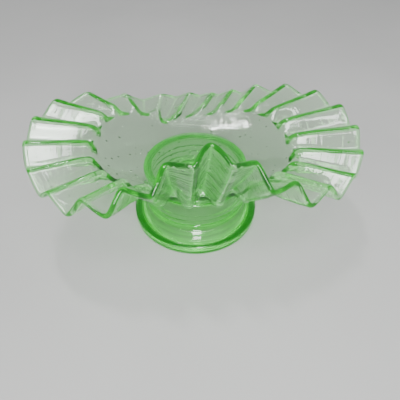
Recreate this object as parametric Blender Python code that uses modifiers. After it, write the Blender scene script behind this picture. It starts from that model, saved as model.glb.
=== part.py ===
"""Footed dish in green uranium glass: a crimped boat-shaped bowl on a low pedestal foot.

Metres, +Z up. The origin is the centre of the foot, on the surface that the dish stands on.
+X is the long way of the boat, and -Y is the side that is drawn up highest.
Three gathers of glass make the dish: the bowl, the merese under it, and the foot.
"""

import math

import bmesh
import bpy
import numpy as np

# Driving dimensions.
FOOT_RADIUS = 0.038
FOOT_HEIGHT = 0.0324
DRUM_RADIUS = 0.030
WALL = 0.0026
GAP = 0.0003
PLEATS = 25

# The foot's outer profile, from the ground up: flange, beaded shoulder, cove, groove, ringed drum.
# The cove, the groove and each ridge have a height above the ground, a width, and how far they stand proud.
FLANGE_HEIGHT = 0.0066
FLANGE_ROUNDING = 0.0016
SLOPE_HOLLOW = 0.0004
SHOULDER_Z = 0.0100
SHOULDER_BEAD = 0.0014
BEAD_STAND = 0.0006
DRUM_WAIST = 0.0008
COVE = (0.0136, 0.0015, -0.0011)
GROOVE = (0.0167, 0.0006, -0.0007)
RIDGES = ((0.0200, 0.0006, 0.0004), (0.0236, 0.0006, 0.0004))
FOOT_TOP_ROUNDING = 0.0010

# The hollow under the foot.
FOOT_WALL = 0.0046
REST_INNER_RADIUS = 0.0325
HOLLOW_SHOULDER_Z = 0.0070
HOLLOW_SHOULDER = 0.0040
HOLLOW_FLARE = 0.0041
HOLLOW_EASE = 0.0008

# The merese, the wafer that joins the bowl to the foot.
MERESE_THICKNESS = 0.0039
MERESE_STAND = 0.0004
MERESE_BOTTOM = FOOT_HEIGHT + GAP
MERESE_TOP = MERESE_BOTTOM + MERESE_THICKNESS

# The bowl's flat floor, at the middle of its wall.
FLOOR_RADIUS = 0.0275
FLOOR_Z = MERESE_TOP + GAP + WALL / 2
FLOOR_EDGE_SLOPE = math.radians(14)

# The rim, as waves round the boat. Each name says what the wave does to a plain oval.
RIM_HALF_LENGTH = 0.0784
RIM_FULL_ENDS = 0.0096
RIM_HALF_WIDTH = 0.0631
RIM_WAIST = 0.0103
RIM_SHIFT_X = 0.0008
RIM_SKEW = -0.0053
RIM_SHIFT_Y = 0.0029
RIM_BEND_Y = -0.0006
RIM_HEIGHT = 0.0569
RIM_SIDE_RISE = 0.0016
RIM_CORNER_DROOP = 0.0040
RIM_TILT_X = -0.0028
RIM_TILT_Y = -0.0079
RIM_FRONT_PEAK = 0.0074

# How the pleats gather along the rim: towards the ends, and from one end or side towards the other.
RIM_CROWDING = -0.115
RIM_DRIFT_FROM_ENDS = 0.005
RIM_DRIFT_FROM_SIDES = -0.049

# Where the tool drew the hot rim: round the material angle, over a width, along X, Y and Z.
RIM_PULLS = (
    (math.radians(-89), math.radians(13), 0, 0.0028, 0.0035),
    (math.radians(88), math.radians(40), 0.0094, -0.0064, 0.0057),
    (math.radians(125), math.radians(18), 0, -0.0065, -0.0011),
)

# The root line, where the pleats die out into the smooth bowl.
ROOT_HALF_LENGTH = 0.0557
ROOT_FULL_ENDS = -0.0015
ROOT_HALF_WIDTH = 0.0400
ROOT_WAIST = 0.0046
ROOT_SHIFT_X = -0.0010
ROOT_SKEW = -0.0019
ROOT_SHIFT_Y = 0.0010
ROOT_HEIGHT = 0.0481
ROOT_END_RISE = 0.0040
ROOT_CORNER_RISE = 0.0015
ROOT_TILT_X = -0.0028
ROOT_CROWDING = 0.034

# How much steeper than the brim the wall is where it passes the root line, and how soon it straightens.
BEND_AT_ENDS = math.radians(38)
BEND_AT_SIDES = math.radians(4)
BEND_REACH = 0.4

# How much steeper than the brim the wall is at the rim, at the sides of the boat.
RIM_LIFT_AT_SIDES = math.radians(11)

# The crimps. They are deeper towards the front, and most of all at the front corners. They start low in
# the front wall and high in the back wall, where one fold runs deeper (material angle, width, how much).
CRIMP_DEPTH = 0.0038
CRIMP_MORE_IN_FRONT = 0.0003
CRIMP_MORE_AT_CORNERS = 0.0008
SHARPNESS_AT_ENDS = 0.92
SHARPNESS_AT_SIDES = 0.70
START_AT_ENDS = 1.86
START_AT_FRONT = 1.56
START_AT_BACK = 2.20
DEEP_FOLD = (math.radians(104), math.radians(9), -0.45)
CRIMP_GROWS_OVER = 0.34
CRIMP_PHASE = 0.015

# Mesh density.
SAMPLES_PER_PLEAT = 6
FLOOR_RINGS = (0.5, 1.0)
BOWL_RINGS = (1.3, 1.6, 1.8, 2.0)
BRIM_RINGS = (2.08, 2.2, 2.4, 2.7, 3.0)
DRUM_RINGS = 27
TURNED_STEPS = 60
TURNED_MERGE = 0.00005


def rim_line(u):
    """The middle of the wall at the rim, for material angles u."""
    v = (u + RIM_CROWDING * np.sin(2 * u) + RIM_DRIFT_FROM_ENDS * np.sin(u)
         + RIM_DRIFT_FROM_SIDES * np.cos(u))
    x = (RIM_HALF_LENGTH * np.cos(v) + RIM_FULL_ENDS * np.cos(3 * v)
         + RIM_SKEW * np.sin(2 * v) + RIM_SHIFT_X)
    y = (RIM_HALF_WIDTH * np.sin(v) + RIM_WAIST * np.sin(3 * v)
         + RIM_BEND_Y * np.cos(2 * v) + RIM_SHIFT_Y)
    z = (RIM_HEIGHT - RIM_SIDE_RISE * np.cos(2 * v) + RIM_CORNER_DROOP * np.cos(4 * v)
         + RIM_TILT_X * np.cos(v) + RIM_TILT_Y * np.sin(v)
         + RIM_FRONT_PEAK * np.sin(3 * v))
    rim = np.stack([x, y, z], -1)
    for middle, width, *pull in RIM_PULLS:
        away = np.angle(np.exp(1j * (u - middle)))
        rim = rim + np.exp(-((away / width) ** 2))[..., None] * pull
    return rim


def root_line(u):
    """The middle of the wall where the pleats begin."""
    v = u + ROOT_CROWDING * np.sin(2 * u)
    x = (ROOT_HALF_LENGTH * np.cos(v) + ROOT_FULL_ENDS * np.cos(3 * v)
         + ROOT_SKEW * np.sin(2 * v) + ROOT_SHIFT_X)
    y = ROOT_HALF_WIDTH * np.sin(v) + ROOT_WAIST * np.sin(3 * v) + ROOT_SHIFT_Y
    z = (ROOT_HEIGHT + ROOT_END_RISE * np.cos(2 * v) - ROOT_CORNER_RISE * np.cos(4 * v)
         + ROOT_TILT_X * np.cos(v))
    return np.stack([x, y, z], -1)


def floor_line(u):
    """The edge of the flat floor, under the root line."""
    root = root_line(u)
    outward = root[..., :2] / np.linalg.norm(root[..., :2], axis=-1, keepdims=True)
    z = np.full(outward.shape[:-1] + (1,), FLOOR_Z)
    return np.concatenate([outward * FLOOR_RADIUS, z], -1)


def direction(run, slope):
    """Unit vectors that climb at the given slope along the horizontal run."""
    flat = run[..., :2] / np.linalg.norm(run[..., :2], axis=-1, keepdims=True)
    return np.concatenate([flat * np.cos(slope)[..., None], np.sin(slope)[..., None]], -1)


def between(at_sides, at_ends, u):
    """A value that changes smoothly from the boat's sides to its ends."""
    return at_sides + (at_ends - at_sides) * np.cos(u) ** 2


def hermite(p0, t0, p1, t1, t):
    """A cubic from p0 to p1 that leaves along t0 and arrives along t1."""
    length = np.linalg.norm(p1 - p0, axis=-1, keepdims=True)
    return ((2 * t**3 - 3 * t**2 + 1) * p0 + (t**3 - 2 * t**2 + t) * length * t0
            + (3 * t**2 - 2 * t**3) * p1 + (t**3 - t**2) * length * t1)


def smooth_wall(u, s):
    """The wall's middle before crimping: s is 0 to 1 on the floor, 1 to 2 up the bowl, 2 to 3 on the brim."""
    floor, root, rim = floor_line(u), root_line(u), rim_line(u)
    if s <= 1:
        return np.concatenate([floor[..., :2] * s, floor[..., 2:]], -1)
    chord = rim - root
    slope = np.arctan2(chord[..., 2], np.linalg.norm(chord[..., :2], axis=-1))
    at_root = direction(chord, slope + between(BEND_AT_SIDES, BEND_AT_ENDS, u))
    if s <= 2:
        start = direction(root - floor, np.full_like(slope, FLOOR_EDGE_SLOPE))
        return hermite(floor, start, root, at_root, s - 1)
    at_rim = direction(chord, slope + between(RIM_LIFT_AT_SIDES, 0, u))
    return hermite(root, at_root * BEND_REACH, rim, at_rim, s - 2)


def normals(u, s):
    """Unit normals of the smooth wall, on the side that faces into the bowl."""
    step = 1e-4
    along = smooth_wall(u + step, s) - smooth_wall(u - step, s)
    low, high = max(s - step, 0.01), min(s + step, 3.0)
    up = smooth_wall(u, high) - smooth_wall(u, low)
    normal = np.cross(up, along)
    return normal / np.linalg.norm(normal, axis=-1, keepdims=True)


def crimp(u, s):
    """How far the crimps push the wall along its normal: a zigzag with rounded folds."""
    start = between(np.where(np.sin(u) < 0, START_AT_FRONT, START_AT_BACK), START_AT_ENDS, u)
    middle, width, sooner = DEEP_FOLD
    start = start + sooner * np.exp(-(((u % math.tau - middle) / width) ** 2))
    grown = np.clip((s - start) / CRIMP_GROWS_OVER, 0, 1)
    grown = grown * grown * (3 - 2 * grown)
    sharpness = between(SHARPNESS_AT_SIDES, SHARPNESS_AT_ENDS, u)
    phase = PLEATS * (u - CRIMP_PHASE + math.pi / 2)
    zigzag = np.arcsin(sharpness * np.cos(phase)) / np.arcsin(sharpness)
    front = -np.sin(u)
    depth = CRIMP_DEPTH + CRIMP_MORE_IN_FRONT * front + CRIMP_MORE_AT_CORNERS * front * np.cos(u) ** 2
    return grown * depth * zigzag


def crimped_wall(u, s):
    """The wall's middle, crimped."""
    return smooth_wall(u, s) + crimp(u, s)[..., None] * normals(u, s)


def material(name, color, roughness):
    """A see-through green glass."""
    made = bpy.data.materials.new(name)
    made.use_nodes = True
    shader = made.node_tree.nodes["Principled BSDF"]
    shader.inputs["Base Color"].default_value = (*color, 1)
    shader.inputs["Roughness"].default_value = roughness
    shader.inputs["Metallic"].default_value = 0
    shader.inputs["Transmission Weight"].default_value = 1
    shader.inputs["IOR"].default_value = 1.52
    made.diffuse_color = (*color, 1)
    return made


def add_object(name, mesh, collection, made_material):
    """Puts a mesh in the collection as a named object."""
    mesh.materials.append(made_material)
    obj = bpy.data.objects.new(name, mesh)
    collection.objects.link(obj)
    return obj


def crimped_bowl(collection):
    """The bowl: an open surface of rings from the floor's centre to the rim, thickened both ways."""
    count = PLEATS * SAMPLES_PER_PLEAT
    u = CRIMP_PHASE - math.pi / 2 + np.arange(count) * 2 * math.pi / count
    bm = bmesh.new()
    centre = bm.verts.new((0, 0, FLOOR_Z))
    rings = []
    for s in FLOOR_RINGS + BOWL_RINGS + BRIM_RINGS:
        rings.append([bm.verts.new(point) for point in crimped_wall(u, s)])
    for i in range(count):
        j = (i + 1) % count
        bm.faces.new((centre, rings[0][i], rings[0][j]))
        for inner, outer in zip(rings, rings[1:]):
            bm.faces.new((inner[i], outer[i], outer[j], inner[j]))
    mesh = bpy.data.meshes.new("crimped_bowl")
    bm.to_mesh(mesh)
    bm.free()
    mesh.shade_smooth()
    bowl = add_object("crimped_bowl", mesh, collection, material("bowl_glass", (0.55, 0.92, 0.50), 0.03))
    thicken = bowl.modifiers.new("wall", "SOLIDIFY")
    thicken.thickness = WALL
    thicken.offset = 0
    return bowl


def arc(centre_r, centre_z, radius, start_deg, end_deg, steps):
    """Points (r, z) along a round stretch of a profile."""
    points = []
    for k in range(steps + 1):
        angle = math.radians(start_deg + (end_deg - start_deg) * k / steps)
        points.append((centre_r + radius * math.cos(angle), centre_z + radius * math.sin(angle)))
    return points


def turned(name, profile, collection, made_material, closed):
    """Turns a profile about Z. Its points run down the outer side from top to bottom."""
    bm = bmesh.new()
    verts = [bm.verts.new((r, 0, z)) for r, z in profile]
    for first, second in zip(verts, verts[1:]):
        bm.edges.new((first, second))
    if closed:
        bm.edges.new((verts[-1], verts[0]))
    mesh = bpy.data.meshes.new(name)
    bm.to_mesh(mesh)
    bm.free()
    obj = add_object(name, mesh, collection, made_material)
    screw = obj.modifiers.new("turn", "SCREW")
    screw.axis = "Z"
    screw.steps = TURNED_STEPS
    screw.render_steps = TURNED_STEPS
    screw.use_merge_vertices = True
    screw.merge_threshold = TURNED_MERGE
    screw.use_smooth_shade = True
    return obj


def merese(collection):
    """The wafer between the bowl and the foot, with a round edge."""
    half = MERESE_THICKNESS / 2
    edge = DRUM_RADIUS - half + MERESE_STAND
    middle = MERESE_BOTTOM + half
    profile = [(0, MERESE_TOP)] + arc(edge, middle, half, 90, -90, 8) + [(0, MERESE_BOTTOM)]
    return turned("merese", profile, collection, material("merese_glass", (0.30, 0.85, 0.25), 0.03), False)


def drum_radius(z):
    """The drum's outside radius: slightly waisted, with rings that each have a height, a width and a depth."""
    share = (z - SHOULDER_Z) / (FOOT_HEIGHT - SHOULDER_Z)
    radius = DRUM_RADIUS + DRUM_WAIST * (1 - share) ** 2
    for middle, width, proud in (COVE, GROOVE) + RIDGES:
        radius += proud * math.exp(-((z - middle) / width) ** 2)
    return radius


def foot(collection):
    """The pedestal foot: a flange, a beaded shoulder and a ringed drum, open below and above."""
    top = FOOT_HEIGHT - FOOT_TOP_ROUNDING
    outer = arc(DRUM_RADIUS - FOOT_TOP_ROUNDING, top, FOOT_TOP_ROUNDING, 90, 0, 3)
    for k in range(1, DRUM_RINGS):
        z = top + (SHOULDER_Z + SHOULDER_BEAD - top) * k / DRUM_RINGS
        outer.append((drum_radius(z), z))
    outer += arc(DRUM_RADIUS + BEAD_STAND, SHOULDER_Z, SHOULDER_BEAD, 50, -40, 4)
    high = FOOT_RADIUS - FLANGE_ROUNDING
    flange = arc(high, FLANGE_HEIGHT - FLANGE_ROUNDING, FLANGE_ROUNDING, 75, 0, 3)
    slope_r = (outer[-1][0] + flange[0][0]) / 2
    slope_z = (outer[-1][1] + flange[0][1]) / 2
    outer.append((slope_r - SLOPE_HOLLOW, slope_z - SLOPE_HOLLOW))
    outer += flange
    outer += arc(high, FLANGE_ROUNDING, FLANGE_ROUNDING, 0, -90, 3)
    inside = DRUM_RADIUS - FOOT_WALL
    inner = [
        (REST_INNER_RADIUS, 0),
        (REST_INNER_RADIUS - HOLLOW_EASE, HOLLOW_EASE),
        (inside + HOLLOW_FLARE, HOLLOW_SHOULDER_Z - HOLLOW_SHOULDER / 2),
        (inside + HOLLOW_SHOULDER / 3, HOLLOW_SHOULDER_Z + HOLLOW_SHOULDER / 4),
        (inside + HOLLOW_SHOULDER / 12, HOLLOW_SHOULDER_Z + HOLLOW_SHOULDER),
        (inside, FOOT_HEIGHT - HOLLOW_EASE),
        (inside + HOLLOW_EASE, FOOT_HEIGHT),
    ]
    return turned("foot", outer + inner, collection, material("foot_glass", (0.42, 0.90, 0.36), 0.03), True)


def main():
    for obj in list(bpy.data.objects):
        bpy.data.objects.remove(obj)
    collection = bpy.data.collections.new("uranium_glass_dish")
    bpy.context.scene.collection.children.link(collection)
    crimped_bowl(collection)
    merese(collection)
    foot(collection)


main()
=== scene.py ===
"""The looks of the green uranium glass dish: fine glass surfaces and materials, floor, light and camera.

The bowl's wall follows the same formulas as the CAD part. Metres, +Z up, the origin under the foot's centre.
"""

import math

import bpy
import numpy as np
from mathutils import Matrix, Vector


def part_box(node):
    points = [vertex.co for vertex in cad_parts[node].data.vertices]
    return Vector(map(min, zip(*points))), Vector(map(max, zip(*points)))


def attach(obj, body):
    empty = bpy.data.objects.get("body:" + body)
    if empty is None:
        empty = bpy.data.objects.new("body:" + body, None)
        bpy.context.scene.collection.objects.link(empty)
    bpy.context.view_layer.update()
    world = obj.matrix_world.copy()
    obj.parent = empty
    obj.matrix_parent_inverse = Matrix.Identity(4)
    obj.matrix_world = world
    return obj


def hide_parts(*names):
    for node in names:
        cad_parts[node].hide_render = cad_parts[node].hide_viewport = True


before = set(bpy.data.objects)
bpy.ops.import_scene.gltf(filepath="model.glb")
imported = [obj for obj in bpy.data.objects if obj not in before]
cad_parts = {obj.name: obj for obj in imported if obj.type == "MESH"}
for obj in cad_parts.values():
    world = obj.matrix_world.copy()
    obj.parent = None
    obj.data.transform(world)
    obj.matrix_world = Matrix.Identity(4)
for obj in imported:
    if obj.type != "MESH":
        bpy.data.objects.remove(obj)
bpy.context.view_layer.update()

# Sizes read from the frame.
foot_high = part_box("foot")[1]
merese_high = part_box("merese")[1]
FOOT_RADIUS = foot_high.x
FOOT_HEIGHT = foot_high.z
FLOOR_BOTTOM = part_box("crimped_bowl")[0].z

# The design's own sizes, as in the CAD part.
DRUM_RADIUS = 0.030
CAD_WALL = 0.0026
PLEATS = 25
FLOOR_RADIUS = 0.0275
FLOOR_Z = FLOOR_BOTTOM + CAD_WALL / 2
FLOOR_EDGE_SLOPE = math.radians(14)

FLANGE_HEIGHT = 0.0066
FLANGE_ROUNDING = 0.0016
SLOPE_HOLLOW = 0.0004
SHOULDER_Z = 0.0100
SHOULDER_BEAD = 0.0014
BEAD_STAND = 0.0006
DRUM_WAIST = 0.0008
COVE = (0.0136, 0.0015, -0.0011)
GROOVE = (0.0167, 0.0006, -0.0007)
RIDGES = ((0.0200, 0.0006, 0.0004), (0.0236, 0.0006, 0.0004))
FOOT_TOP_ROUNDING = 0.0010
FOOT_WALL = 0.0046
REST_INNER_RADIUS = 0.0325
HOLLOW_SHOULDER_Z = 0.0070
HOLLOW_SHOULDER = 0.0040
HOLLOW_FLARE = 0.0041
HOLLOW_EASE = 0.0008

RIM_HALF_LENGTH = 0.0784
RIM_FULL_ENDS = 0.0096
RIM_HALF_WIDTH = 0.0631
RIM_WAIST = 0.0103
RIM_SHIFT_X = 0.0008
RIM_SKEW = -0.0053
RIM_SHIFT_Y = 0.0029
RIM_BEND_Y = -0.0006
RIM_HEIGHT = 0.0569
RIM_SIDE_RISE = 0.0016
RIM_CORNER_DROOP = 0.0040
RIM_TILT_X = -0.0028
RIM_TILT_Y = -0.0079
RIM_FRONT_PEAK = 0.0074
RIM_CROWDING = -0.115
RIM_DRIFT_FROM_ENDS = 0.005
RIM_DRIFT_FROM_SIDES = -0.049
RIM_PULLS = (
    (math.radians(-89), math.radians(13), 0, 0.0028, 0.0035),
    (math.radians(88), math.radians(40), 0.0094, -0.0064, 0.0057),
    (math.radians(125), math.radians(18), 0, -0.0065, -0.0011),
)

ROOT_HALF_LENGTH = 0.0557
ROOT_FULL_ENDS = -0.0015
ROOT_HALF_WIDTH = 0.0400
ROOT_WAIST = 0.0046
ROOT_SHIFT_X = -0.0010
ROOT_SKEW = -0.0019
ROOT_SHIFT_Y = 0.0010
ROOT_HEIGHT = 0.0481
ROOT_END_RISE = 0.0040
ROOT_CORNER_RISE = 0.0015
ROOT_TILT_X = -0.0028
ROOT_CROWDING = 0.034

BEND_AT_ENDS = math.radians(38)
BEND_AT_SIDES = math.radians(4)
BEND_REACH = 0.4
RIM_LIFT_AT_SIDES = math.radians(11)

CRIMP_DEPTH = 0.0038
CRIMP_MORE_IN_FRONT = 0.0003
CRIMP_MORE_AT_CORNERS = 0.0008
START_AT_ENDS = 1.86
START_AT_FRONT = 1.56
START_AT_BACK = 2.20
DEEP_FOLD = (math.radians(104), math.radians(9), -0.45)
CRIMP_GROWS_OVER = 0.34
CRIMP_PHASE = 0.015

# What only the looks have: a wall that thins towards the rim, folds that soften towards their roots, an
# uneven skin, and chill marks. FROM and OVER are places along the wall, as in smooth_wall.
WALL_AT_FLOOR = 0.0026
WALL_AT_RIM = 0.0025
RIM_BEAD = 0.0001
SHARPNESS_AT_RIM = 0.90
SHARPNESS_AT_ROOT = 0.50
SHARPENS_FROM = 1.9
SHARPENS_OVER = 0.7
RIM_INSET = 0.0013
RIM_BEAD_START = 2.92
INSET_SHARES = ((-1, 1), (-2, 0.66), (-3, 0.33))
LEAST_LEAN = 0.8
WAVINESS = 0.00010
WAVY_FROM = 0.3
WAVY_OVER = 0.7
CHILLED_FROM = 1.2
CHILLED_OVER = 0.6
CHILLED_AT_ENDS = 0.2
JOIN = 0.00002

# The ends of the wall's run and the step that its slopes are measured with.
WALL_START = 0.01
WALL_END = 3.0
STEP = 1e-4

# Mesh density. The rows of the wall crowd together where the pleats begin.
SAMPLES_PER_PLEAT = 22
FLOOR_ROWS = 8
FIRST_FLOOR_ROW = 0.12
BOWL_ROWS = 24
BOWL_CROWDING = 0.9
BRIM_ROWS = 34
BRIM_CROWDING = 1.2
RIM_CAP_STEPS = 6
DRUM_RINGS = 80
TURNED_STEPS = 192
ROUNDING_STEPS = 8
BEAD_STEPS = 10
MERESE_STEPS = 24
SLOPE_STEPS = 8
HOLLOW_STEPS = 6


# ---- The wall's shape -------------------------------------------------------------------------

def rim_line(u):
    """The middle of the wall at the rim, for material angles u."""
    v = (u + RIM_CROWDING * np.sin(2 * u) + RIM_DRIFT_FROM_ENDS * np.sin(u)
         + RIM_DRIFT_FROM_SIDES * np.cos(u))
    x = (RIM_HALF_LENGTH * np.cos(v) + RIM_FULL_ENDS * np.cos(3 * v)
         + RIM_SKEW * np.sin(2 * v) + RIM_SHIFT_X)
    y = (RIM_HALF_WIDTH * np.sin(v) + RIM_WAIST * np.sin(3 * v)
         + RIM_BEND_Y * np.cos(2 * v) + RIM_SHIFT_Y)
    z = (RIM_HEIGHT - RIM_SIDE_RISE * np.cos(2 * v) + RIM_CORNER_DROOP * np.cos(4 * v)
         + RIM_TILT_X * np.cos(v) + RIM_TILT_Y * np.sin(v)
         + RIM_FRONT_PEAK * np.sin(3 * v))
    rim = np.stack([x, y, z], -1)
    for middle, width, *pull in RIM_PULLS:
        away = np.angle(np.exp(1j * (u - middle)))
        rim = rim + np.exp(-((away / width) ** 2))[..., None] * pull
    return rim


def root_line(u):
    """The middle of the wall where the pleats begin."""
    v = u + ROOT_CROWDING * np.sin(2 * u)
    x = (ROOT_HALF_LENGTH * np.cos(v) + ROOT_FULL_ENDS * np.cos(3 * v)
         + ROOT_SKEW * np.sin(2 * v) + ROOT_SHIFT_X)
    y = ROOT_HALF_WIDTH * np.sin(v) + ROOT_WAIST * np.sin(3 * v) + ROOT_SHIFT_Y
    z = (ROOT_HEIGHT + ROOT_END_RISE * np.cos(2 * v) - ROOT_CORNER_RISE * np.cos(4 * v)
         + ROOT_TILT_X * np.cos(v))
    return np.stack([x, y, z], -1)


def floor_line(u):
    """The edge of the flat floor, under the root line."""
    root = root_line(u)
    outward = root[..., :2] / np.linalg.norm(root[..., :2], axis=-1, keepdims=True)
    z = np.full(outward.shape[:-1] + (1,), FLOOR_Z)
    return np.concatenate([outward * FLOOR_RADIUS, z], -1)


def direction(run, slope):
    """Unit vectors that climb at the given slope along the horizontal run."""
    flat = run[..., :2] / np.linalg.norm(run[..., :2], axis=-1, keepdims=True)
    return np.concatenate([flat * np.cos(slope)[..., None], np.sin(slope)[..., None]], -1)


def between(at_sides, at_ends, u):
    """A value that changes smoothly from the boat's sides to its ends."""
    return at_sides + (at_ends - at_sides) * np.cos(u) ** 2


def hermite(p0, t0, p1, t1, t):
    """A cubic from p0 to p1 that leaves along t0 and arrives along t1."""
    length = np.linalg.norm(p1 - p0, axis=-1, keepdims=True)
    return ((2 * t**3 - 3 * t**2 + 1) * p0 + (t**3 - 2 * t**2 + t) * length * t0
            + (3 * t**2 - 2 * t**3) * p1 + (t**3 - t**2) * length * t1)


def smooth_wall(u, s):
    """The wall's middle before crimping: s is 0 to 1 on the floor, 1 to 2 up the bowl, 2 to 3 on the brim."""
    floor, root, rim = floor_line(u), root_line(u), rim_line(u)
    if s <= 1:
        return np.concatenate([floor[..., :2] * s, floor[..., 2:]], -1)
    chord = rim - root
    slope = np.arctan2(chord[..., 2], np.linalg.norm(chord[..., :2], axis=-1))
    at_root = direction(chord, slope + between(BEND_AT_SIDES, BEND_AT_ENDS, u))
    if s <= 2:
        start = direction(root - floor, np.full_like(slope, FLOOR_EDGE_SLOPE))
        return hermite(floor, start, root, at_root, s - 1)
    at_rim = direction(chord, slope + between(RIM_LIFT_AT_SIDES, 0, u))
    return hermite(root, at_root * BEND_REACH, rim, at_rim, s - 2)


def smooth_normals(u, s):
    """Unit normals of the smooth wall, on the side that faces into the bowl."""
    along = smooth_wall(u + STEP, s) - smooth_wall(u - STEP, s)
    up = smooth_wall(u, min(s + STEP, WALL_END)) - smooth_wall(u, max(s - STEP, WALL_START))
    normal = np.cross(up, along)
    return normal / np.linalg.norm(normal, axis=-1, keepdims=True)


def ease(x):
    """A smooth step from 0 to 1."""
    x = np.clip(x, 0, 1)
    return x * x * (3 - 2 * x)


def zigzag(u, s):
    """The crimps from -1 in the troughs to 1 on the crests, with folds that sharpen towards the rim."""
    share = ease((s - SHARPENS_FROM) / SHARPENS_OVER)
    sharpness = SHARPNESS_AT_ROOT + (SHARPNESS_AT_RIM - SHARPNESS_AT_ROOT) * share
    phase = PLEATS * (u - CRIMP_PHASE + math.pi / 2)
    return np.arcsin(sharpness * np.cos(phase)) / np.arcsin(sharpness)


def grown(u, s):
    """How far the crimps have grown, from 0 in the smooth bowl to 1 on the brim."""
    start = between(np.where(np.sin(u) < 0, START_AT_FRONT, START_AT_BACK), START_AT_ENDS, u)
    middle, width, sooner = DEEP_FOLD
    start = start + sooner * np.exp(-(((u % math.tau - middle) / width) ** 2))
    return ease((s - start) / CRIMP_GROWS_OVER)


def crimp(u, s):
    """How far the crimps push the wall along its normal."""
    front = -np.sin(u)
    depth = CRIMP_DEPTH + CRIMP_MORE_IN_FRONT * front + CRIMP_MORE_AT_CORNERS * front * np.cos(u) ** 2
    return grown(u, s) * depth * zigzag(u, s)


# ---- Meshes -----------------------------------------------------------------------------------

def mesh_object(name, verts, faces):
    """A smooth-shaded mesh object in the scene."""
    mesh = bpy.data.meshes.new(name)
    mesh.from_pydata(verts, [], faces)
    mesh.shade_smooth()
    obj = bpy.data.objects.new(name, mesh)
    bpy.context.scene.collection.objects.link(obj)
    return obj


def point_values(obj, name, values):
    """Stores one number a point, for the materials to read."""
    layer = obj.data.attributes.new(name, "FLOAT", "POINT")
    layer.data.foreach_set("value", np.asarray(values, np.float32))


def wall_rows():
    """The rows of the wall from near the floor's middle to the rim, closest where the pleats begin."""
    floor = FIRST_FLOOR_ROW + (1 - FIRST_FLOOR_ROW) * np.arange(FLOOR_ROWS) / FLOOR_ROWS
    bowl = 1 + (np.arange(BOWL_ROWS) / BOWL_ROWS) ** BOWL_CROWDING
    brim = 2 + (np.arange(BRIM_ROWS + 1) / BRIM_ROWS) ** BRIM_CROWDING
    return np.concatenate([floor, bowl, brim])


def unit(vectors):
    """The vectors at length 1."""
    return vectors / np.linalg.norm(vectors, axis=-1, keepdims=True)


def offsets(grid, smooth):
    """Unit offsets for a wall's two sides: between its true and its uncrimped normals, so that tight folds
    keep apart, and a little longer where they lean."""
    along = np.roll(grid, -1, 1) - np.roll(grid, 1, 1)
    up = np.gradient(grid, axis=0)
    true = unit(np.cross(up, along))
    lean = unit(true + smooth)
    return lean / np.maximum((lean * true).sum(-1, keepdims=True), LEAST_LEAN)


def waviness(u, rows, shift):
    """How unevenly the glass chilled: shallow waves that only thin the wall, unlike on its two sides."""
    s = rows[:, None]
    waves = (np.sin(7 * u + 9 * s + shift) + np.sin(13 * u - 17 * s + 1.3 * shift)
             + np.sin(31 * u + 23 * s - 2.1 * shift) + np.sin(3 * u - 41 * s + 0.7 * shift))
    return (WAVINESS * (waves / 4 + 1) / 2 * ease((s - WAVY_FROM) / WAVY_OVER))[..., None]


def glass_bowl():
    """The bowl as one closed skin: inner side, round rim, outer side."""
    count = PLEATS * SAMPLES_PER_PLEAT
    u = CRIMP_PHASE - math.pi / 2 + np.arange(count) * 2 * math.pi / count
    rows = wall_rows()
    smooth = np.stack([smooth_normals(u, s) for s in rows])
    middle = np.stack([smooth_wall(u, s) for s in rows])
    middle += np.stack([crimp(u, s) for s in rows])[..., None] * smooth
    # The rim's middle stops short of the CAD rim by the rounding of its edge.
    inward = unit(middle[-3] - middle[-1])
    for row, share in INSET_SHARES:
        middle[row] += inward * RIM_INSET * share
    half = (WALL_AT_FLOOR + (WALL_AT_RIM - WALL_AT_FLOOR) * np.clip((rows - 1) / 2, 0, 1)) / 2
    half += RIM_BEAD * ease((rows - RIM_BEAD_START) / (WALL_END - RIM_BEAD_START))
    across = offsets(middle, smooth)
    inner = middle + across * (half[:, None, None] - waviness(u, rows, 0.0))
    outer = middle - across * (half[:, None, None] - waviness(u, rows, 2.0))
    rim_middle, rim_push = (inner[-1] + outer[-1]) / 2, (inner[-1] - outer[-1]) / 2
    cap = []
    for k in range(1, RIM_CAP_STEPS):
        angle = math.pi * k / RIM_CAP_STEPS
        cap.append(rim_middle + rim_push * math.cos(angle) - inward * half[-1] * math.sin(angle))
    skin = np.stack(list(inner) + cap + list(outer[::-1]))
    verts = skin.reshape(-1, 3).tolist()
    verts.append((0, 0, FLOOR_Z + WALL_AT_FLOOR / 2))
    verts.append((0, 0, FLOOR_Z - WALL_AT_FLOOR / 2))
    top_centre, bottom_centre = len(verts) - 2, len(verts) - 1
    total = len(skin)
    faces = []
    for i in range(count):
        j = (i + 1) % count
        faces.append((top_centre, i, j))
        for row in range(total - 1):
            a, b = row * count, (row + 1) * count
            faces.append((a + i, b + i, b + j, a + j))
        last = (total - 1) * count
        faces.append((last + i, bottom_centre, last + j))
    obj = mesh_object("glass_bowl", verts, faces)
    climb = np.concatenate([rows, np.full(len(cap), WALL_END), rows[::-1]])
    # These fold values mask the painted glow on the folds' crests and the pleats' roots.
    painted_glow_folds = np.stack([grown(u, s) * np.abs(zigzag(u, s)) for s in climb])
    at_angle = between(1, CHILLED_AT_ENDS, u)
    chill = np.stack([ease((s - CHILLED_FROM) / CHILLED_OVER) * at_angle for s in climb])
    point_values(obj, "climb", np.append(np.repeat(climb, count), [0, 0]))
    point_values(obj, "painted_glow_fold_mask", np.append(painted_glow_folds.ravel(), [0, 0]))
    point_values(obj, "chill", np.append(chill.ravel(), [0, 0]))
    return obj


def arc(centre_r, centre_z, radius, start_deg, end_deg, steps):
    """Points (r, z) along a round stretch of a profile."""
    points = []
    for k in range(steps + 1):
        angle = math.radians(start_deg + (end_deg - start_deg) * k / steps)
        points.append((centre_r + radius * math.cos(angle), centre_z + radius * math.sin(angle)))
    return points


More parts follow.
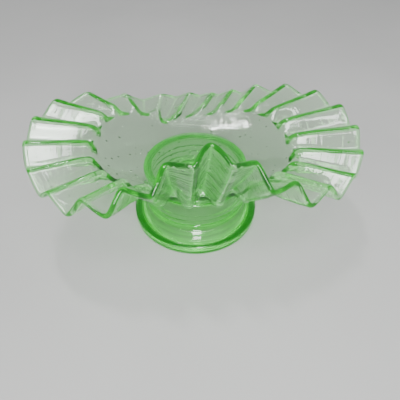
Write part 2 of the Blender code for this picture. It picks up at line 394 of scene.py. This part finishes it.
def turned(name, profile, closed):
    """A profile (r, z), running down its outer side, turned about Z."""
    angles = [2 * math.pi * k / TURNED_STEPS for k in range(TURNED_STEPS)]
    verts, rings = [], []
    for r, z in profile:
        if r == 0:
            rings.append([len(verts)] * TURNED_STEPS)
            verts.append((0, 0, z))
            continue
        rings.append(list(range(len(verts), len(verts) + TURNED_STEPS)))
        verts += [(r * math.cos(a), r * math.sin(a), z) for a in angles]
    pairs = list(zip(rings, rings[1:]))
    if closed:
        pairs.append((rings[-1], rings[0]))
    faces = []
    for upper, lower in pairs:
        for i in range(TURNED_STEPS):
            j = (i + 1) % TURNED_STEPS
            face = (upper[i], lower[i], lower[j], upper[j])
            faces.append(tuple(dict.fromkeys(face)))
    return mesh_object(name, verts, faces)


def glass_merese():
    """The wafer. It reaches a hair into the bowl and the foot, as the hot glass ran together there."""
    top = FLOOR_BOTTOM + JOIN
    bottom = FOOT_HEIGHT - JOIN
    half = (top - bottom) / 2
    edge = merese_high.x - half
    profile = [(0, top)] + arc(edge, bottom + half, half, 90, -90, MERESE_STEPS) + [(0, bottom)]
    return turned("glass_merese", profile, False)


def drum_radius(z):
    """The drum's outside radius: slightly waisted, with rings of their own height, width and depth."""
    share = (z - SHOULDER_Z) / (FOOT_HEIGHT - SHOULDER_Z)
    radius = DRUM_RADIUS + DRUM_WAIST * (1 - share) ** 2
    for middle, width, proud in (COVE, GROOVE) + RIDGES:
        radius += proud * math.exp(-((z - middle) / width) ** 2)
    return radius


def rounded(points, steps):
    """A smooth curve through the points, as a Catmull-Rom spline."""
    points = [Vector(p) for p in points]
    ends = [points[0] * 2 - points[1]] + points + [points[-1] * 2 - points[-2]]
    curve = []
    for a, b, c, d in zip(ends, ends[1:], ends[2:], ends[3:]):
        for k in range(steps):
            t = k / steps
            p = (b + (c - a) * t / 2 + (2 * a - 5 * b + 4 * c - d) * t**2 / 2
                 + (3 * b - a - 3 * c + d) * t**3 / 2)
            curve.append(tuple(p))
    curve.append(tuple(points[-1]))
    return curve


def glass_foot():
    """The pedestal foot, finely turned."""
    top = FOOT_HEIGHT - FOOT_TOP_ROUNDING
    outer = arc(DRUM_RADIUS - FOOT_TOP_ROUNDING, top, FOOT_TOP_ROUNDING, 90, 0, ROUNDING_STEPS)
    for k in range(1, DRUM_RINGS):
        z = top + (SHOULDER_Z + SHOULDER_BEAD - top) * k / DRUM_RINGS
        outer.append((drum_radius(z), z))
    outer += arc(DRUM_RADIUS + BEAD_STAND, SHOULDER_Z, SHOULDER_BEAD, 50, -40, BEAD_STEPS)
    high = FOOT_RADIUS - FLANGE_ROUNDING
    flange = arc(high, FLANGE_HEIGHT - FLANGE_ROUNDING, FLANGE_ROUNDING, 75, 0, ROUNDING_STEPS)
    slope_r = (outer[-1][0] + flange[0][0]) / 2
    slope_z = (outer[-1][1] + flange[0][1]) / 2
    slope = [outer[-1], (slope_r - SLOPE_HOLLOW, slope_z - SLOPE_HOLLOW), flange[0]]
    outer += rounded(slope, SLOPE_STEPS)[1:-1] + flange
    outer += arc(high, FLANGE_ROUNDING, FLANGE_ROUNDING, 0, -90, ROUNDING_STEPS)
    inside = DRUM_RADIUS - FOOT_WALL
    inner = rounded([
        (REST_INNER_RADIUS, 0),
        (REST_INNER_RADIUS - HOLLOW_EASE, HOLLOW_EASE),
        (inside + HOLLOW_FLARE, HOLLOW_SHOULDER_Z - HOLLOW_SHOULDER / 2),
        (inside + HOLLOW_SHOULDER / 3, HOLLOW_SHOULDER_Z + HOLLOW_SHOULDER / 4),
        (inside + HOLLOW_SHOULDER / 12, HOLLOW_SHOULDER_Z + HOLLOW_SHOULDER),
        (inside, FOOT_HEIGHT - HOLLOW_EASE),
        (inside + HOLLOW_EASE, FOOT_HEIGHT),
    ], HOLLOW_STEPS)
    return turned("glass_foot", outer + inner, True)


# ---- Materials --------------------------------------------------------------------------------

class Nodes:
    """A short way to add and link a material's nodes."""

    def __init__(self, material):
        material.use_nodes = True
        self.tree = material.node_tree
        self.tree.nodes.clear()

    def add(self, kind, inputs=None, **settings):
        """A node with its settings, and with inputs that are numbers, colours or another node's output."""
        made = self.tree.nodes.new("ShaderNode" + kind)
        for key, value in settings.items():
            setattr(made, key, value)
        for key, value in (inputs or {}).items():
            if isinstance(value, bpy.types.NodeSocket):
                self.tree.links.new(value, made.inputs[key])
            else:
                made.inputs[key].default_value = value
        return made

    def math(self, operation, a, b):
        """One operation on two values."""
        return self.add("Math", {0: a, 1: b}, operation=operation).outputs[0]

    def remap(self, value, low, high, to_low, to_high):
        """Carries a value from one range to another, smoothly and clamped."""
        inputs = {"Value": value, "From Min": low, "From Max": high, "To Min": to_low, "To Max": to_high}
        return self.add("MapRange", inputs, interpolation_type="SMOOTHSTEP").outputs["Result"]

    def band(self, value, low, high, soft):
        """1 where a value lies between low and high, falling to 0 over a soft edge outside them."""
        rise = self.remap(value, low - soft, low, 0.0, 1.0)
        return self.math("MULTIPLY", rise, self.remap(value, high, high + soft, 1.0, 0.0))

    def bands(self, value, edges):
        """1 inside any of the bands, each given by its low end, its high end and its soft edge."""
        shares = [self.band(value, *edge) for edge in edges]
        most = shares[0]
        for share in shares[1:]:
            most = self.math("MAXIMUM", most, share)
        return most

    def mix(self, share, first, second):
        """A colour between the first, at share 0, and the second, at share 1."""
        return self.add("MixRGB", {0: share, 1: first, 2: second}).outputs[0]

    def noise(self, vector, scale, detail):
        """Smooth noise from 0 to 1, at a scale in cycles a metre."""
        return self.add("TexNoise", {"Vector": vector, "Scale": scale, "Detail": detail}).outputs["Fac"]

    def stretched(self, split, flat_scale, third, third_scale):
        """The place with X and Y scaled alike, and a third value in place of Z."""
        return self.add("CombineXYZ", {
            0: self.math("MULTIPLY", split.outputs[0], flat_scale),
            1: self.math("MULTIPLY", split.outputs[1], flat_scale),
            2: self.math("MULTIPLY", third, third_scale),
        }).outputs[0]

    def bump(self, height, distance, strength, under=None):
        """A normal bent by a height map, on top of another normal if there is one."""
        inputs = {"Height": height, "Distance": distance, "Strength": strength}
        if under is not None:
            inputs["Normal"] = under
        return self.add("Bump", inputs).outputs["Normal"]


def seeds(nodes, place, scale, radius):
    """The tiny bubbles near the skin, as round dimples in a little under half of the cells."""
    cells = nodes.add("TexVoronoi", {"Vector": place, "Scale": scale, "Randomness": 1.0})
    chance = nodes.add("SeparateColor", {0: cells.outputs["Color"]}).outputs[0]
    size = nodes.remap(chance, 0.55, 1.0, 0.0, radius)
    return nodes.add("MapRange", {
        "Value": cells.outputs["Distance"], "From Min": 0.0, "From Max": size, "To Min": 1.0, "To Max": 0.0,
    }, interpolation_type="SMOOTHSTEP").outputs["Result"]


GLASS_IOR = 1.52
ABSORBS = (0.42, 0.975, 0.36, 1)
# Painted glow: the green that the glass emits, though it is no lamp.
PAINTED_GLOW_COLOR = (0.05, 1.0, 0.04, 1)
CLEAR = (0.98, 1.0, 0.98, 1)
# Painted shade: the deeper green tint of the foot's grooves and top.
PAINTED_SHADE_TINT = (0.46, 0.93, 0.42, 1)

BOWL_DENSITY = 130
MERESE_DENSITY = 36
FOOT_DENSITY = 170

# Strengths of the painted glow: an even share, and more on the folds, the rim, the roots, the wafer's edge
# and the foot's bands.
BOWL_BASE_PAINTED_GLOW = 0.008
FOLD_PAINTED_GLOW = 0.08
RIM_PAINTED_GLOW = 0.11
ROOT_PAINTED_GLOW = 0.13
MERESE_PAINTED_GLOW = (0.005, 0.12)
FOOT_BASE_PAINTED_GLOW = 0.03
FOOT_RING_PAINTED_GLOW = 0.13

# Heights on the foot with painted shade, a deeper green in its grooves and at its top, and with a painted
# glow and painted highlights on its bead, a thin ring and its flange edge. Each has a low end, a high end and
# a soft edge.
PAINTED_SHADE_BANDS = ((0.0126, 0.0144, 0.0006), (0.0164, 0.0170, 0.0004), (0.0316, 0.0330, 0.0016))
PAINTED_HIGHLIGHT_BANDS = ((0.0098, 0.0110, 0.0006), (0.0152, 0.0158, 0.0004), (0.0, 0.0040, 0.0015))


def finish_glass(nodes, tint_and_painted_shade, normal, roughness, density, painted_glow):
    """Clear glass that drinks red and blue with depth, with a painted green glow where the caller asks for
    it: an emission that stands in for light caught in thick glass.
    """
    shader = nodes.add("BsdfPrincipled", {
        "Base Color": tint_and_painted_shade, "Roughness": roughness, "IOR": GLASS_IOR,
        "Transmission Weight": 1.0, "Emission Color": PAINTED_GLOW_COLOR, "Emission Strength": painted_glow, "Normal": normal,
    })
    volume = nodes.add("VolumeAbsorption", {"Color": ABSORBS, "Density": density})
    nodes.add("OutputMaterial", {"Surface": shader.outputs["BSDF"], "Volume": volume.outputs["Volume"]})


def bowl_material():
    """Crimped glass: chill ripples across the pleats, a wavy skin, seeds, a little haze, and a painted green
    glow on its folds, rim edge and pleat roots.
    """
    made = bpy.data.materials.new("uranium_glass_bowl")
    nodes = Nodes(made)
    place = nodes.add("TexCoord").outputs["Object"]
    climb = nodes.add("Attribute", attribute_name="climb").outputs["Fac"]
    split = nodes.add("SeparateXYZ", {0: place})
    chill = nodes.add("Attribute", attribute_name="chill").outputs["Fac"]
    painted_glow_fold_mask = nodes.add("Attribute", attribute_name="painted_glow_fold_mask").outputs["Fac"]
    streaks = nodes.noise(nodes.stretched(split, 34, climb, 15), scale=1.0, detail=3.0)
    ripples = nodes.math("MULTIPLY", streaks, nodes.math("ADD", chill, 0.12))
    waves = nodes.noise(place, scale=42, detail=1.0)
    normal = nodes.bump(waves, distance=0.004, strength=0.05)
    normal = nodes.bump(ripples, distance=0.0016, strength=0.26, under=normal)
    bubbles = seeds(nodes, place, scale=300, radius=0.24)
    normal = nodes.bump(bubbles, distance=0.0005, strength=1.0, under=normal)
    roughness = nodes.remap(nodes.noise(place, scale=60, detail=3.0), 0.35, 0.75, 0.008, 0.04)
    # Painted glow on the folds' crests, the rim's edge and the pleats' roots, over an even painted glow.
    painted_glow_folds = nodes.remap(painted_glow_fold_mask, 0.80, 1.0, 0.0, FOLD_PAINTED_GLOW)
    edge = nodes.remap(climb, 2.93, 2.99, 0.0, RIM_PAINTED_GLOW)
    above_bowl = nodes.remap(climb, 1.78, 1.92, 0.0, ROOT_PAINTED_GLOW)
    below_brim = nodes.remap(climb, 2.0, 2.2, 1.0, 0.0)
    root = nodes.math("MULTIPLY", nodes.math("MULTIPLY", above_bowl, below_brim), painted_glow_fold_mask)
    even_painted_glow = nodes.math("ADD", root, BOWL_BASE_PAINTED_GLOW)
    painted_glow = nodes.math("MAXIMUM", nodes.math("MAXIMUM", painted_glow_folds, edge), even_painted_glow)
    finish_glass(nodes, CLEAR, normal, roughness, BOWL_DENSITY, painted_glow)
    return made


def merese_material():
    """The wafer: smooth and fire-polished, with a painted green glow at its edge."""
    made = bpy.data.materials.new("uranium_glass_merese")
    nodes = Nodes(made)
    place = nodes.add("TexCoord").outputs["Object"]
    normal = nodes.bump(nodes.noise(place, scale=120, detail=1.0), distance=0.001, strength=0.08)
    roughness = nodes.remap(nodes.noise(place, scale=90, detail=2.0), 0.4, 0.8, 0.01, 0.04)
    split = nodes.add("SeparateXYZ", {0: place})
    flat = nodes.add("CombineXYZ", {0: split.outputs[0], 1: split.outputs[1]}).outputs[0]
    reach = nodes.add("VectorMath", {0: flat}, operation="LENGTH").outputs["Value"]
    # Painted glow, rising towards the wafer's edge.
    painted_glow = nodes.remap(reach, 0.0270, 0.0292, *MERESE_PAINTED_GLOW)
    finish_glass(nodes, CLEAR, normal, roughness, MERESE_DENSITY, painted_glow)
    return made


def foot_material():
    """Pressed glass: fine rings round the drum, a wavy skin, seeds, painted shade that makes the grooves and
    top deeper green, a painted glow and painted highlights on its edges, and a worn ring where it stands."""
    made = bpy.data.materials.new("uranium_glass_foot")
    nodes = Nodes(made)
    place = nodes.add("TexCoord").outputs["Object"]
    split = nodes.add("SeparateXYZ", {0: place})
    height = split.outputs[2]
    skin = nodes.noise(place, scale=110, detail=2.0)
    rings = nodes.noise(nodes.stretched(split, 18, height, 800), scale=1.0, detail=2.0)
    bubbles = seeds(nodes, place, scale=260, radius=0.22)
    normal = nodes.bump(skin, distance=0.002, strength=0.08)
    normal = nodes.bump(rings, distance=0.0005, strength=0.30, under=normal)
    normal = nodes.bump(bubbles, distance=0.0004, strength=1.0, under=normal)
    worn = nodes.remap(height, 0.0001, 0.0009, 0.4, 0.0)
    haze = nodes.remap(nodes.noise(place, scale=70, detail=3.0), 0.35, 0.75, 0.01, 0.05)
    roughness = nodes.math("MAXIMUM", worn, haze)
    # Painted shade: the base colour turns deeper green in the grooves and at the top.
    tint_and_painted_shade = nodes.mix(nodes.bands(height, PAINTED_SHADE_BANDS), CLEAR, PAINTED_SHADE_TINT)
    # Painted highlights and painted glow on the bead, a thin ring and the flange edge, over an even painted
    # glow.
    painted_highlight = nodes.math("MULTIPLY", nodes.bands(height, PAINTED_HIGHLIGHT_BANDS), FOOT_RING_PAINTED_GLOW)
    painted_glow = nodes.math("ADD", painted_highlight, FOOT_BASE_PAINTED_GLOW)
    finish_glass(nodes, tint_and_painted_shade, normal, roughness, FOOT_DENSITY, painted_glow)
    return made


FLOOR_DARK = (0.385, 0.385, 0.378, 1)
FLOOR_LIGHT = (0.41, 0.41, 0.402, 1)
FLOOR_FAR_PAINTED_LIGHT = (0.90, 0.90, 0.89, 1)
FLOOR_ROUGHNESS = 0.75
FLOOR_REACH = 3.0


def floor_material():
    """A pale matt studio floor with a faint grain. Far away it is painted paler, as painted light standing in
    for the lamps' falloff there, so that it meets the room.
    """
    made = bpy.data.materials.new("studio_floor")
    nodes = Nodes(made)
    place = nodes.add("TexCoord").outputs["Object"]
    grain = nodes.remap(nodes.noise(place, scale=6, detail=4.0), 0.3, 0.7, 0.0, 1.0)
    near = nodes.mix(grain, FLOOR_DARK, FLOOR_LIGHT)
    away = nodes.add("VectorMath", {0: place}, operation="LENGTH").outputs["Value"]
    # Painted light: the floor's tone rises from about 0.4 near the dish to 0.9 far off.
    color = nodes.mix(nodes.remap(away, 0.4, 1.4, 0.0, 1.0), near, FLOOR_FAR_PAINTED_LIGHT)
    shader = nodes.add("BsdfPrincipled", {"Base Color": color, "Roughness": FLOOR_ROUGHNESS})
    nodes.add("OutputMaterial", {"Surface": shader.outputs["BSDF"]})
    return made


# ---- Floor, light and camera ------------------------------------------------------------------

def studio_floor():
    """One flat square that the dish stands on."""
    r = FLOOR_REACH
    obj = mesh_object("studio_floor", [(-r, -r, 0), (r, -r, 0), (r, r, 0), (-r, r, 0)], [(0, 1, 2, 3)])
    obj.data.materials.append(floor_material())


LIT_POINT = Vector((0, 0, 0.05))
HORIZON = (0.50, 0.51, 0.51, 1)
ZENITH = (0.45, 0.46, 0.47, 1)
LIGHT_BOUNCES = 32


def softbox(name, toward, distance, size, radiance):
    """A rectangular soft light that shines on the dish from the given direction."""
    data = bpy.data.lights.new(name, "AREA")
    data.shape = "RECTANGLE"
    data.size, data.size_y = size
    data.energy = radiance * size[0] * size[1] * math.pi
    obj = bpy.data.objects.new(name, data)
    obj.location = LIT_POINT + Vector(toward).normalized() * distance
    obj.rotation_euler = (LIT_POINT - obj.location).to_track_quat("-Z", "Y").to_euler()
    bpy.context.scene.collection.objects.link(obj)


def studio_world():
    """A plain, even room, a little brighter at the horizon than overhead."""
    world = bpy.data.worlds.new("studio")
    nodes = Nodes(world)
    up = nodes.add("SeparateXYZ", {0: nodes.add("TexCoord").outputs["Generated"]}).outputs[2]
    color = nodes.mix(nodes.remap(up, 0.0, 0.5, 0.0, 1.0), HORIZON, ZENITH)
    background = nodes.add("Background", {"Color": color, "Strength": 1.0})
    nodes.add("OutputWorld", {"Surface": background.outputs[0]})
    bpy.context.scene.world = world


CAMERA_DISTANCE = 0.2402
CAMERA_ELEVATION = math.radians(46)
CAMERA_TURN = -0.1128
CAMERA_LENS = 33.3
CAMERA_SENSOR = 36
CAMERA_SHIFT = (0.0114, 0.0193)
CAMERA_CLIP = 0.01


def studio_camera():
    """Looks at the foot's centre from in front and above."""
    data = bpy.data.cameras.new("camera")
    data.lens = CAMERA_LENS
    data.sensor_width = CAMERA_SENSOR
    data.shift_x, data.shift_y = CAMERA_SHIFT
    data.clip_start = CAMERA_CLIP
    obj = bpy.data.objects.new("camera", data)
    flat = CAMERA_DISTANCE * math.cos(CAMERA_ELEVATION)
    obj.location = (
        flat * math.sin(CAMERA_TURN),
        -flat * math.cos(CAMERA_TURN),
        CAMERA_DISTANCE * math.sin(CAMERA_ELEVATION),
    )
    obj.rotation_euler = (-obj.location).to_track_quat("-Z", "Y").to_euler()
    bpy.context.scene.collection.objects.link(obj)
    bpy.context.scene.camera = obj


# ---- The scene --------------------------------------------------------------------------------

for make, material, cad_node, slot in (
    (glass_bowl, bowl_material, "crimped_bowl", "bowl_glass"),
    (glass_merese, merese_material, "merese", "merese_glass"),
    (glass_foot, foot_material, "foot", "foot_glass"),
):
    piece = make()
    piece.data.materials.append(material())
    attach(piece, "root")
    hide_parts(cad_node)

studio_floor()
studio_world()
softbox("window", (-0.045, -0.70, 0.40), 0.8, (0.20, 0.54), 32)
softbox("overhead", (-0.115, 0.22, 0.80), 0.8, (0.055, 0.12), 110)
softbox("front_strip", (0, -0.80, 0.62), 0.9, (1.7, 0.035), 30)
softbox("top", (0.05, -0.30, 0.95), 0.9, (0.46, 0.22), 7)
studio_camera()
bpy.context.scene.cycles.max_bounces = LIGHT_BOUNCES
bpy.context.scene.cycles.transmission_bounces = LIGHT_BOUNCES
